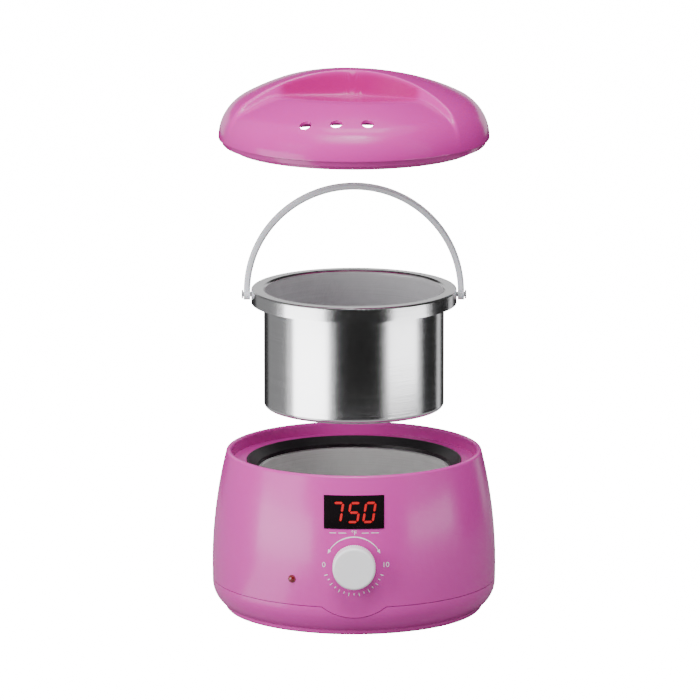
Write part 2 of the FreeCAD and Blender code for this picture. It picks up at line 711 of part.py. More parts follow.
def make_lamp():
    """Red indicator lens and the little board that carries its lamp."""
    degrees = -90 - d.lamp_angle
    r = skin(d.lamp_height)
    dome = doc.addObject("Part::Sphere", "lamp_dome")
    bind(dome, Radius=2.9)
    place(dome, r - 1.2, 0, d.lamp_height)
    cap = common("lamp_cap", dome, rod("lamp_limit", 2.5, 6, r - 1.6, 0, d.lamp_height, "x"))
    behind = r - d.shell_wall - 1.6
    stem = rod("lamp_stem", 2.5, d.shell_wall + 2.0, behind + 0.2, 0, d.lamp_height, "x")
    collar = rod("lamp_collar", 3.6, 1.2, behind, 0, d.lamp_height, "x")
    keep(turned("indicator_lens", fuse("lamp_joined", cap, stem, collar), degrees),
         "indicator_lens")
    board = box("lamp_sheet", 1.6, 10, 12, behind - 4.8, 0, d.lamp_height - 6)
    bulb = rod("lamp_bulb", 1.8, 3.6, behind - 4.0, 0, d.lamp_height, "x")
    keep(turned("indicator_board", fuse("lamp_board", board, bulb), degrees), "indicator_board")


def make_inlet():
    """Two-pin appliance inlet in the rear wall, with its pins."""
    z, wall = d.inlet_height, skin(d.inlet_height)
    face = wall + 0.6
    body = new_body("inlet_block")
    pad(body, "inlet_pad", "XZ_Plane", lambda s: rectangle(
        s, d.inlet_wide, d.inlet_tall, 0, z), 19, offset=-face)

    def socket(sketch):
        outline(sketch, [(-4.1, z - 4.2), (4.1, z - 4.2, 4.2, True), (4.1, z + 4.2),
                         (-4.1, z + 4.2, 4.2, True)])
    pocket(body, "inlet_socket", "XZ_Plane", socket, 13, offset=-face, reverse=True)
    ears = [box("inlet_ear_%d" % s, 3, 2, d.inlet_tall, (d.inlet_wide / 2 + 1.0) * s,
                front(z + 8, d.inlet_wide / 2 + 2.5, d.shell_wall) - 1.4, z - d.inlet_tall / 2)
            for s in (-1, 1)]
    keep(fuse("power_inlet", body, *ears), "power_inlet")
    pins = [rod("pin_%d" % s, 1.2, 11, 4.3 * s, face - 13, z, "y") for s in (-1, 1)]
    tails = [box("pin_tail_%d" % s, 2.4, 5, 0.8, 4.3 * s, face - 21.5, z - 0.4) for s in (-1, 1)]
    keep(group("inlet_pins", *pins, *tails), "inlet_pins")


def make_boards():
    """Control board on its standoffs with the larger components."""
    top = d.board_lift + 1.6
    sheet = box("control_sheet", d.board_wide, d.board_deep, 1.6, 0, 6, d.board_lift)
    holes = [rod("control_hole_%d" % i, 1.3, 6, *board_corner(i), d.board_lift - 2)
             for i in range(4)]
    keep(cut("control_board", sheet, *holes), "control_board")
    screws = []
    for i in range(4):
        x, y = board_corner(i)
        screws.append(fuse("board_screw_%d" % i, rod("board_head_%d" % i, 2.2, 1.4, x, y, top),
                           rod("board_stem_%d" % i, 1.0, 5.5, x, y, top - 5.5)))
    keep(group("board_screws", *screws), "board_screws")
    keep(box("relay", 15, 12, 9.4, 24, 14, top), "relay")
    keep(group("capacitors", *[rod("capacitor_%d" % i, 3.2, 8.5, -29 + 7.5 * i, 21, top)
                               for i in range(3)]), "capacitors")
    core = box("core", 14, 11, 9, -20, 1, top)
    winding = box("winding", 10, 15, 7, -20, 1, top + 0.8)
    keep(fuse("transformer", core, winding), "transformer")
    keep(fuse("terminal_block", box("terminals", 20, 7, 8, 3, 26, top),
              box("terminal_step", 20, 4, 4, 3, 21, top)), "terminal_block")


def make_leads():
    """Inner wires, each laid along straight runs and bends to the control board."""
    top = d.board_lift + 1.6 + 8 + 1.2
    face = skin(d.inlet_height) + 0.6
    mains = [wire("mains_lead_%d" % s, "YZ_Plane", 4.3 * s, 1.1, 4,
                  [(face - 22.5, d.inlet_height - 0.4), (face - 22.5, top), (26, top)])
             for s in (-1, 1)]
    keep(group("mains_leads", *mains), "mains_leads")
    outer = d.well_radius + d.well_wall + d.heater_wall + 0.1
    low = well_floor + d.heater_low - 7.5
    heat = [wire("heater_lead_%d" % s, "YZ_Plane", 10 * s, 1.0, 4,
                 [(outer, low), (outer, 14), (31, 14)]) for s in (-1, 1)]
    keep(group("heater_leads", *heat), "heater_leads")
    down = board_face - 3.6
    keep(wire("display_wire", "YZ_Plane", -18, 1.2, 4,
              [(-down, d.window_height - 8), (-down, 8), (-19, 8)]), "display_lead")


def make_fixings():
    """Screws in the bottom plate and rubber feet."""
    screws, feet = [], []
    for i in range(4):
        x, y = polar(d.screw_ring, 45 + 90 * i)
        head = rod("bottom_head_%d" % i, 3.0, 1.0, x, y, d.foot_lift + 0.1)
        stem = rod("bottom_stem_%d" % i, 1.4, 18, x, y, d.foot_lift + 1)
        screws.append(fuse("bottom_screw_%d" % i, head, stem))
        fx, fy = polar(d.foot_ring, 45 + 90 * i)
        feet.append(rod("foot_pad_%d" % i, 6, d.foot_lift + 0.8, fx, fy, 0))
    keep(group("bottom_screws", *screws), "bottom_screws")
    keep(group("rubber_feet", *feet), "rubber_feet")


def make_knob():
    """Finely ribbed knob, the thermostat shaft that it turns and a spring in its hub."""
    z, back = d.knob_height, front(d.knob_height) + 0.9
    body = new_body("knob_blank")
    pad(body, "knob_disc", "XZ_Plane", lambda s: circle(s, d.knob_radius, 0, z), d.knob_deep,
        offset=back)
    pocket(body, "knob_hollow", "XZ_Plane", lambda s: circle(s, d.knob_radius - 2.6, 0, z), 5,
           offset=back, reverse=True)
    face = (back + d.knob_deep).value
    round_edges(body, "knob_edge", 1.6, lambda b: b.YMax < 1e-3 - face)
    flutes = []
    for i in range(60):
        x, y = polar(d.knob_radius + 0.1, 6 * i)
        flutes.append(rod("flute_%d" % i, 0.36, d.knob_deep - 2.2, x,
                          -(back + d.knob_deep - 2.2), y + z, "y"))
    hub_end = back + d.knob_deep - 2.0
    hub = rod("hub_rod", 4.9, hub_end - front(z) - 5.8, 0, -hub_end, z, "y")
    bore = rod("hub_bore", 3.1, 30, 0, -hub_end, z, "y")
    keep(cut("knob", fuse("knob_solid", body, hub), bore, *flutes), "knob")
    tail = front(z) - 12
    shaft = rod("shaft_rod", 2.9, hub_end - 0.4 - tail, 0, -(hub_end - 0.4), z, "y")
    flat = box("shaft_flat", 8, 5, 2, 0, -(hub_end - 2.5), z + 2.1)
    keep(cut("thermostat_shaft", shaft, flat), "thermostat_shaft")
    keep(box("knob_spring", 3, 2.8, 0.5, 0, -(hub_end - 2.2), z + 2.2), "knob_spring")


def make_pot():
    """Spun pot with a turned-down flange, and the studs that carry its bail."""
    r, w, top, low = d.pot_radius, d.pot_wall, pot_top + d.pot_raise, pot_floor + d.pot_raise
    rim, skirt = d.flange_radius, pot_top + d.pot_raise - d.flange_height
    keep(revolve("pot_shell", [
        (0, low), (r - 3, low, 3, True), (r, low + 3), (r, top - 2.6, 1.2, False),
        (r + 1.2, top - 1.4), (rim - w - 0.4, top - 1.4), (rim - w, top - 2), (rim - w, skirt),
        (rim, skirt), (rim, top - 1.2, 1.2, True), (rim - 1.2, top), (r + 1.4, top, 2.6, True),
        (r - w, top - 2.6), (r - w, low + 3, 3 - w, False), (r - 3, low + w), (0, low + w)]),
        "pot_shell")
    studs = []
    for s in (-1, 1):
        axis = top - d.stud_drop
        start = rim - 0.2
        outer = d.bail_inner + d.bail_wide + 0.4
        stem = rod("stud_stem_%d" % s, d.stud_radius, outer + 0.8 - start, start, 0, axis, "x")
        head = rod("stud_head_%d" % s, 2.8, 1.0, outer, 0, axis, "x")
        studs.append(turned("stud_%d" % s, fuse("stud_joined_%d" % s, stem, head), 90 - 90 * s))
    shell = NODES[-1]
    keep(cut("bail_studs", group("stud_pair", *studs), shell), "bail_studs")


def make_bail():
    """Plastic bail: a strap with a raised middle rib, round ends and stud holes."""
    top = pot_top + d.pot_raise - d.stud_drop
    inner, outer, rise = d.bail_inner, d.bail_inner + d.bail_wide, d.bail_rise
    body = new_body("bail_handle")

    def arch(inset):
        def draw(sketch):
            low, high = inner + inset, outer - inset
            outline(sketch, [(-high, top), (-low, top), (-low, top + rise, low, False),
                             (low, top + rise), (low, top), (high, top),
                             (high, top + rise, high, True), (-high, top + rise)])
        return draw
    pad(body, "strap", "XZ_Plane", arch(0), d.bail_deep * 0.62, middle=True)
    pad(body, "rib", "XZ_Plane", arch(1.1), d.bail_deep, middle=True)
    for s in (-1, 1):
        start = inner if s > 0 else -outer
        pad(body, "end_%d" % (s + 1), "YZ_Plane", lambda k: circle(k, 3.6, 0, top), d.bail_wide,
            offset=start)
    pocket(body, "stud_holes", "YZ_Plane", lambda s: circle(s, d.stud_radius + 0.4, 0, top),
           outer * 2 + 10, middle=True)
    return keep(body, "bail_handle")


def crown(label, height, corner, inset, low):
    """Solid dome made of a crown arc that runs tangent into a corner arc."""
    a, b = d.lid_radius, height - d.lip_height
    big = (a * a + b * b - 2 * a * corner) / ((b - corner) * 2)
    middle_z = height - big
    side_x, side_z = a - corner, d.lip_height
    scale = (big - inset) / (big - corner)
    meet_x, meet_z = side_x * scale, middle_z + (side_z - middle_z) * scale
    skirt = [(a - inset, low + lid_level)] if abs(low.value - side_z.value) > 0.01 else []
    return revolve(label, [(0, low + lid_level)] + skirt + [
        (a - inset, side_z + lid_level, corner - inset, True),
        (meet_x, meet_z + lid_level, big - inset, True), (0, height - inset + lid_level)])


def lid_form(label, inset, low):
    """Dome, ridge and the two finger scoops, moved inwards by an inset."""
    inset = size(inset)
    dome = crown(label + "_dome", d.lid_crown, d.crown_corner, inset, size(low))
    ridge = crown(label + "_ridge", d.ridge_crown, d.ridge_corner, inset, size(low))
    scoops, walls = [], []
    for s in (-1, 1):
        reach = (d.scoop_arc + d.ridge_half) * s
        name = "%s_%s" % (label, "front" if s < 0 else "rear")
        radius = d.scoop_arc + inset
        walls.append(rod(name + "_wall", radius, 90, 0, reach, lid_level - 20))
        block = doc.addObject("Part::Box", name + "_block")
        long = radius * 2 + 20
        bind(block, Length=long, Width=long, Height=60)
        tilt = d.scoop_tilt * s
        floor = lid_level + d.scoop_floor - inset
        if s < 0:
            place(block, long * -0.5, long * cosine(tilt) * -1, floor - long * sine(tilt),
                  Vector(1, 0, 0), tilt)
        else:
            place(block, long * -0.5, 0, floor, Vector(1, 0, 0), tilt)
        scoops.append(common(name + "_scoop", block,
                             rod(name + "_bore", radius, 90, 0, reach, lid_level - 20)))
    raised = cut(label + "_waist", ridge, *walls)
    return cut(label, fuse(label + "_full", dome, raised), *scoops)


def make_lid():
    """Hollow lid with a raised grip ridge between two scoops, three vents and a rim."""
    outer = lid_form("lid_outer", 0, d.lip_height)
    inner = lid_form("lid_inner", d.lid_wall, size(-5))
    low = lid_level
    lip = revolve("lid_lip", [
        (d.rim_inner + 0.4, low), (d.lid_lip, low), (d.lid_lip, low + d.lip_height + 0.5),
        (d.rim_inner + 0.4, low + d.lip_height + 0.5)])
    rib_out = d.rim_inner - 0.8
    rib = revolve("lid_rib", [
        (rib_out - 1.8, low - 3), (rib_out, low - 3), (rib_out, low + d.lip_height),
        (d.lid_radius - 1, low + d.lip_height), (d.lid_radius - 1, low + d.lip_height + 1.6),
        (rib_out - 1.8, low + d.lip_height + 1.6)])
    hollow = cut("lid_hollow", outer, inner)
    trimmed = common("rib_trimmed", rib, crown("rib_limit", d.lid_crown, d.crown_corner,
                                               size(0.6), size(-5)))
    vents = [rod("vent_%d" % i, d.vent_radius, 60, d.vent_pitch * i,
                 -(d.vent_front - abs(i) * 3.0), lid_level) for i in (-1, 0, 1)]
    solid = cut("lid_vented", fuse("lid_joined", hollow, lip, trimmed), *vents)
    yawed = turned("lid_shell", solid, d.lid_yaw)
    return keep(yawed, "lid_shell")


board_face = front(d.window_height + d.window_tall / 2, 17, d.shell_wall + 1.4) - 6.5
lid_level = d.base_height + d.clearance + d.pot_raise + d.lid_raise


def check_and_write():
    """Recompute, make sure that every piece is sound, then write one file per piece."""
    doc.recompute()
    for feature in doc.Objects:
        if any(word in ("Invalid", "Error") for word in feature.State):
            raise RuntimeError("%s is %s" % (feature.Label, feature.State))
    for feature in NODES:
        if feature.Shape.isNull() or not feature.Shape.isValid() or not feature.Shape.Solids:
            raise RuntimeError("%s has no sound shape" % feature.Label)
    os.makedirs("parts", exist_ok=True)
    for feature in NODES:
        feature.Shape.exportStep("parts/%s.step" % feature.Label)


def main():
    for make in (make_body_shell, make_lower_shell, make_foot_plate, make_collar_and_well,
                 make_brackets, make_thermostat, make_display, make_lamp, make_inlet,
                 make_boards, make_leads, make_fixings, make_knob, make_pot, make_bail, make_lid):
        make()
    check_and_write()


main()
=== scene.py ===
"""Looks of the wax warmer pot: finishes, printed dial, sculpted lid and a soft studio.

Metres, +Z up, front towards -Y. Each made piece rides on the body it belongs to.
"""

import json
import logging
import math
from dataclasses import dataclass, field
from enum import Enum
from typing import Callable, Iterable, Sequence

import bpy
import numpy as np
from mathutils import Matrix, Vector


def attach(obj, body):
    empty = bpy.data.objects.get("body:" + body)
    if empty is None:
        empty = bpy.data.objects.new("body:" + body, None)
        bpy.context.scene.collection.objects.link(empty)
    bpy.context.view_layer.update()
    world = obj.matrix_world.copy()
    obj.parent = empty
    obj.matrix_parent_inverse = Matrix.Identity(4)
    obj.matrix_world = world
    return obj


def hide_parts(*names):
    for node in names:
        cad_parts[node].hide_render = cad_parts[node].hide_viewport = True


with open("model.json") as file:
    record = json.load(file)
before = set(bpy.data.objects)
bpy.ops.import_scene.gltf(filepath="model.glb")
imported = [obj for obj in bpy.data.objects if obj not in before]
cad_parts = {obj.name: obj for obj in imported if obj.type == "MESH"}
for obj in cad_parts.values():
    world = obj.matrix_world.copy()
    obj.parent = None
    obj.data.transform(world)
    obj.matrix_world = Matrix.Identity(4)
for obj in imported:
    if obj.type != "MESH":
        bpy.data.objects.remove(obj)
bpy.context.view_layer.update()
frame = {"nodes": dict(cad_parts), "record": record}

LOG = logging.getLogger("wax_warmer")
MM = 0.001
# Name of the mesh attribute that holds how much painted shade the lid takes.
SCOOP_SHADE_ATTRIBUTE = "scoop_shade"

Colour = tuple[float, float, float, float]


class Surface(Enum):
    """How a finish is built."""

    PLASTIC = "plastic"
    TURNED = "turned"
    METAL = "metal"
    GLOW = "glow"
    FIBRE = "fibre"


@dataclass(frozen=True)
class Finish:
    """One finish: its colour, how it scatters and what fine texture it carries.

    Turned metal is duller within the radius `inside`, in metres. The last field is a painted shade
    colour that a piece takes where its painted-shade attribute is 1; it darkens the lid's scoop
    walls and floors.
    """

    name: str
    surface: Surface
    colour: Colour
    roughness: float = 0.4
    coat: float = 0.0
    translucent: float = 0.0
    glow: float = 0.0
    grain: float = 0.0
    grain_scale: float = 400.0
    inside: float = 0.0
    painted_shade_colour: Colour | None = None


FINISHES: tuple[Finish, ...] = (
    Finish("shell_pink", Surface.PLASTIC, (0.60, 0.045, 0.365, 1), 0.26, 0.1, 0.05, 0, 0.02, 350),
    Finish("collar_black", Surface.PLASTIC, (0.006, 0.004, 0.006, 1), 0.42, 0, 0, 0, 0.05, 900),
    Finish("well_metal", Surface.TURNED, (0.90, 0.90, 0.89, 1), 0.3, inside=0.0613),
    Finish("pot_metal", Surface.TURNED, (0.88, 0.88, 0.90, 1), 0.15, inside=0.0583),
    Finish("bail_white", Surface.PLASTIC, (0.80, 0.81, 0.86, 1), 0.35, 0.2, 0.1, 0, 0.03, 500),
    Finish("steel", Surface.METAL, (0.60, 0.60, 0.62, 1), 0.35, 0, 0, 0, 0.03, 700),
    Finish("screw_steel", Surface.METAL, (0.72, 0.72, 0.70, 1), 0.28, 0, 0, 0, 0.03, 900),
    Finish("wrap_white", Surface.FIBRE, (0.82, 0.79, 0.70, 1), 0.9, 0, 0, 0, 0.6, 500),
    Finish("thermostat_case", Surface.PLASTIC, (0.05, 0.04, 0.035, 1), 0.5, 0, 0, 0, 0.1, 800),
    Finish("copper", Surface.METAL, (0.78, 0.42, 0.26, 1), 0.32, 0, 0, 0, 0.03, 900),
    Finish("pin_brass", Surface.METAL, (0.80, 0.62, 0.28, 1), 0.28, 0, 0, 0, 0.03, 900),
    Finish("fuse_white", Surface.PLASTIC, (0.78, 0.75, 0.68, 1), 0.6, 0, 0, 0, 0.1, 900),
    Finish("window_black", Surface.PLASTIC, (0.006, 0.004, 0.005, 1), 0.12, 0.5, 0, 0, 0.0, 300),
    Finish("digit_red", Surface.GLOW, (0.55, 0.0, 0.004, 1), 0.5, 0, 0, 0.3),
    Finish("module_grey", Surface.PLASTIC, (0.2, 0.2, 0.21, 1), 0.5, 0, 0, 0, 0.1, 900),
    Finish("board_green", Surface.PLASTIC, (0.02, 0.13, 0.05, 1), 0.4, 0.2, 0, 0, 0.1, 900),
    Finish("lamp_red", Surface.PLASTIC, (0.16, 0.004, 0.008, 1), 0.12, 0.8, 0.2, 0, 0.0, 300),
    Finish("inlet_black", Surface.PLASTIC, (0.015, 0.015, 0.016, 1), 0.45, 0, 0, 0, 0.12, 900),
    Finish("relay_blue", Surface.PLASTIC, (0.02, 0.07, 0.32, 1), 0.4, 0, 0, 0, 0.05, 900),
    Finish("capacitor_can", Surface.PLASTIC, (0.02, 0.02, 0.05, 1), 0.35, 0.3, 0, 0, 0.02, 900),
    Finish("transformer_tan", Surface.PLASTIC, (0.42, 0.25, 0.05, 1), 0.5, 0, 0, 0, 0.1, 900),
    Finish("terminal_green", Surface.PLASTIC, (0.04, 0.26, 0.1, 1), 0.45, 0, 0, 0, 0.05, 900),
    Finish("lead_sleeve", Surface.PLASTIC, (0.5, 0.02, 0.015, 1), 0.5, 0, 0, 0, 0.05, 900),
    Finish("flat_lead", Surface.PLASTIC, (0.12, 0.12, 0.14, 1), 0.5, 0, 0, 0, 0.05, 900),
    Finish("foot_rubber", Surface.PLASTIC, (0.02, 0.02, 0.02, 1), 0.8, 0, 0, 0, 0.2, 900),
    # The lid's second colour is painted shade for the walls and floors of its scoops.
    Finish("lid_pink", Surface.PLASTIC, (0.58, 0.032, 0.33, 1), 0.2, 0.2, 0.05, 0, 0.02, 350,
           painted_shade_colour=(0.42, 0.001, 0.17, 1.0)),
    Finish("knob_white", Surface.PLASTIC, (0.92, 0.92, 0.94, 1), 0.38, 0.15, 0.05, 0, 0.04, 700),
    Finish("print_white", Surface.PLASTIC, (0.90, 0.78, 0.87, 1), 0.5, 0, 0, 0, 0.03, 900),
)


class Graph:
    """A node tree that can be written one call per node."""

    def __init__(self, tree: bpy.types.NodeTree) -> None:
        self.tree = tree

    def node(self, kind: str, settings: dict | None = None, **values: object) -> bpy.types.Node:
        """Add a node.

        Args:
            kind: Node class name.
            settings: Attributes set on the node itself.
            **values: Socket values or sockets to link, by socket name with _ for space.

        Returns:
            The node.
        """
        made = self.tree.nodes.new(kind)
        for name, value in (settings or {}).items():
            setattr(made, name, value)
        for name, value in values.items():
            socket = made.inputs[name.replace("_", " ")]
            if isinstance(value, bpy.types.NodeSocket):
                self.tree.links.new(value, socket)
            else:
                socket.default_value = value
        return made

    def math(self, operation: str, *values: object) -> bpy.types.NodeSocket:
        """Add a maths node and return its result."""
        made = self.tree.nodes.new("ShaderNodeMath")
        made.operation = operation
        for socket, value in zip(made.inputs, values):
            if isinstance(value, bpy.types.NodeSocket):
                self.tree.links.new(value, socket)
            else:
                socket.default_value = value
        return made.outputs[0]


def new_group(name: str, takes: dict[str, float], gives: dict[str, str]) -> tuple:
    """Start a shader node group.

    Args:
        name: Name of the group.
        takes: Float inputs with their defaults.
        gives: Outputs with their socket types.

    Returns:
        The group, its graph, its input node and its output node.
    """
    tree = bpy.data.node_groups.new(name, "ShaderNodeTree")
    for label, value in takes.items():
        socket = tree.interface.new_socket(label, in_out="INPUT", socket_type="NodeSocketFloat")
        socket.default_value = value
    for label, kind in gives.items():
        tree.interface.new_socket(label, in_out="OUTPUT", socket_type=kind)
    return (tree, Graph(tree), tree.nodes.new("NodeGroupInput"), tree.nodes.new("NodeGroupOutput"))


def moulded_group() -> bpy.types.NodeTree:
    """Faint moulding grain and slow colour drift of a moulded piece."""
    tree, graph, takes, gives = new_group(
        "Moulded grain", {"Scale": 400.0, "Strength": 0.05},
        {"Drift": "NodeSocketFloat", "Normal": "NodeSocketVector"})
    place = graph.node("ShaderNodeTexCoord").outputs["Object"]
    fine = graph.node("ShaderNodeTexNoise", Vector=place, Scale=takes.outputs["Scale"], Detail=3.0)
    slow = graph.node("ShaderNodeTexNoise", Vector=place, Scale=9.0, Detail=2.0)
    bump = graph.node("ShaderNodeBump", Height=fine.outputs[0], Distance=0.0004,
                      Strength=takes.outputs["Strength"])
    tree.links.new(slow.outputs[0], gives.inputs["Drift"])
    tree.links.new(bump.outputs[0], gives.inputs["Normal"])
    return tree


def turned_group() -> bpy.types.NodeTree:
    """Fine rings of a turned and brushed piece, round the Z axis."""
    tree, graph, takes, gives = new_group(
        "Turned rings", {"Rings": 2600.0, "Depth": 0.2},
        {"Streak": "NodeSocketFloat", "Radius": "NodeSocketFloat",
         "Normal": "NodeSocketVector"})
    place = graph.node("ShaderNodeTexCoord").outputs["Object"]
    parts = graph.node("ShaderNodeSeparateXYZ", Vector=place)
    turn = graph.math("ARCTAN2", parts.outputs["Y"], parts.outputs["X"])
    across = graph.math("SQRT", graph.math("ADD", graph.math("MULTIPLY", parts.outputs["X"],
                        parts.outputs["X"]), graph.math("MULTIPLY", parts.outputs["Y"],
                        parts.outputs["Y"])))
    along = graph.math("ADD", parts.outputs["Z"], across)
    flat = graph.node("ShaderNodeCombineXYZ", X=graph.math("MULTIPLY", turn, 0.6),
                      Y=graph.math("MULTIPLY", along, takes.outputs["Rings"]), Z=0.0)
    lines = graph.node("ShaderNodeTexNoise", Vector=flat.outputs[0], Scale=1.0, Detail=4.0,
                       Roughness=0.65)
    bump = graph.node("ShaderNodeBump", Height=lines.outputs[0], Distance=0.00012,
                      Strength=takes.outputs["Depth"])
    tree.links.new(lines.outputs[0], gives.inputs["Streak"])
    tree.links.new(across, gives.inputs["Radius"])
    tree.links.new(bump.outputs[0], gives.inputs["Normal"])
    return tree


class FinishLibrary:
    """Builds one material per finish and puts them on the object's nodes."""

    def __init__(self, finishes: Iterable[Finish]) -> None:
        self.moulded = moulded_group()
        self.turned = turned_group()
        self.made = {finish.name: self.build(finish) for finish in finishes}

    def build(self, finish: Finish) -> bpy.types.Material:
        """Build the material of one finish."""
        material = bpy.data.materials.new(finish.name)
        material.use_nodes = True
        material.diffuse_color = finish.colour
        graph = Graph(material.node_tree)
        shader = material.node_tree.nodes["Principled BSDF"]
        shader.inputs["Roughness"].default_value = finish.roughness
        builders: dict[Surface, Callable] = {
            Surface.PLASTIC: self.plastic, Surface.FIBRE: self.plastic,
            Surface.TURNED: self.turned_metal, Surface.METAL: self.plain_metal,
            Surface.GLOW: self.glow}
        builders[finish.surface](finish, graph, shader)
        return material

    def grain(self, finish: Finish, graph: Graph) -> bpy.types.Node:
        """Add the moulded grain group with the finish's values."""
        return graph.node("ShaderNodeGroup", {"node_tree": self.moulded},
                          Scale=finish.grain_scale, Strength=finish.grain)

    def tint(self, finish: Finish, graph: Graph, amount: float,
             factor: bpy.types.NodeSocket) -> bpy.types.NodeSocket:
        """Return the finish's colour, drifting darker by an amount with a factor."""
        dark = tuple(c * (1 - amount) for c in finish.colour[:3]) + (1.0,)
        mixed = graph.node("ShaderNodeMix", {"data_type": "RGBA"})
        mixed.inputs[6].default_value = dark
        mixed.inputs[7].default_value = finish.colour
        graph.tree.links.new(factor, mixed.inputs[0])
        return mixed.outputs[2]

    def plastic(self, finish: Finish, graph: Graph, shader: bpy.types.Node) -> None:
        """Moulded plastic, rubber or fibre."""
        grain = self.grain(finish, graph)
        links = graph.tree.links
        colour = self.tint(finish, graph, 0.06, grain.outputs["Drift"])
        # Painted shade: mix in the finish's painted shade colour where the lid's painted-shade
        # attribute is high, darkening its scoop walls and floors.
        if finish.painted_shade_colour:
            painted_shade_colour = graph.node("ShaderNodeMix", {"data_type": "RGBA"})
            painted_shade_colour.inputs[7].default_value = finish.painted_shade_colour
            depth = graph.node("ShaderNodeAttribute", {"attribute_name": SCOOP_SHADE_ATTRIBUTE})
            links.new(depth.outputs["Fac"], painted_shade_colour.inputs[0])
            links.new(colour, painted_shade_colour.inputs[6])
            colour = painted_shade_colour.outputs[2]
        links.new(colour, shader.inputs["Base Color"])
        links.new(grain.outputs["Normal"], shader.inputs["Normal"])
        shader.inputs["Coat Weight"].default_value = finish.coat
        shader.inputs["Coat Roughness"].default_value = 0.08
        if finish.translucent:
            shader.inputs["Subsurface Weight"].default_value = finish.translucent
            shader.inputs["Subsurface Scale"].default_value = 0.004

    def turned_metal(self, finish: Finish, graph: Graph, shader: bpy.types.Node) -> None:
        """Turned aluminium with fine rings that stretch its highlights."""
        rings = graph.node("ShaderNodeGroup", {"node_tree": self.turned})
        links = graph.tree.links
        links.new(self.tint(finish, graph, 0.35, rings.outputs["Streak"]),
                  shader.inputs["Base Color"])
        rough = graph.math("ADD", graph.math("MULTIPLY", rings.outputs["Streak"], 0.14),
                           finish.roughness - 0.07)
        within = graph.math("LESS_THAN", rings.outputs["Radius"], finish.inside)
        links.new(graph.math("MULTIPLY_ADD", within, -0.45, 1.0), shader.inputs["Metallic"])
        rough = graph.math("MULTIPLY_ADD", within, 0.3, rough)
        links.new(rough, shader.inputs["Roughness"])
        links.new(rings.outputs["Normal"], shader.inputs["Normal"])
        shader.inputs["Anisotropic"].default_value = 0.6
        tangent = graph.node("ShaderNodeTangent", {"direction_type": "RADIAL", "axis": "Z"})
        links.new(tangent.outputs[0], shader.inputs["Tangent"])

    def plain_metal(self, finish: Finish, graph: Graph, shader: bpy.types.Node) -> None:
        """Plain metal with a little drift in colour."""
        grain = self.grain(finish, graph)
        links = graph.tree.links
        links.new(self.tint(finish, graph, 0.12, grain.outputs["Drift"]),
                  shader.inputs["Base Color"])
        links.new(grain.outputs["Normal"], shader.inputs["Normal"])
        shader.inputs["Metallic"].default_value = 1.0

    def glow(self, finish: Finish, graph: Graph, shader: bpy.types.Node) -> None:
        """A lit bar whose colour drifts a little at random."""
        place = graph.node("ShaderNodeTexCoord").outputs["Object"]
        noise = graph.node("ShaderNodeTexNoise", Vector=place, Scale=300.0, Detail=1.0)
        links = graph.tree.links
        colour = self.tint(finish, graph, 0.2, noise.outputs[0])
        links.new(colour, shader.inputs["Base Color"])
        links.new(colour, shader.inputs["Emission Color"])
        shader.inputs["Emission Strength"].default_value = finish.glow

    def dress(self, obj: bpy.types.Object, name: str) -> None:
        """Give an object one finish only."""
        obj.data.materials.clear()
        obj.data.materials.append(self.made[name])


@dataclass(frozen=True)
class Side:
    """The base's side surface: an arc turned about the Z axis, in millimetres."""

    belly_radius: float = 93.2
    belly_height: float = 30.0
    arc: float = 314.0

    def radius(self, height: np.ndarray | float) -> np.ndarray | float:
        """Radius of the surface at a height."""
        return self.belly_radius - self.arc + np.sqrt(
            self.arc ** 2 - (np.asarray(height) - self.belly_height) ** 2)

    def wrap(self, flat: np.ndarray, proud: float) -> np.ndarray:
        """Lay points drawn on the front view onto the surface.

        Args:
            flat: Rows of x and height.
            proud: Distance by which they stand off the surface.

        Returns:
            Rows of x, y and z in metres.
        """
        radius = self.radius(flat[:, 1]) + proud
        depth = -np.sqrt(radius ** 2 - flat[:, 0] ** 2)
        return np.column_stack([flat[:, 0], depth, flat[:, 1]]) * MM


def add_mesh(name: str, points: np.ndarray, faces: Sequence[Sequence[int]],
             smooth: bool = True) -> bpy.types.Object:
    """Make an object from points in metres and faces, and link it into the scene."""
    mesh = bpy.data.meshes.new(name)
    mesh.from_pydata(points.tolist(), [], [list(f) for f in faces])
    mesh.update()
    if smooth:
        mesh.polygons.foreach_set("use_smooth", np.ones(len(mesh.polygons), dtype=bool))
    obj = bpy.data.objects.new(name, mesh)
    bpy.context.scene.collection.objects.link(obj)
    return obj


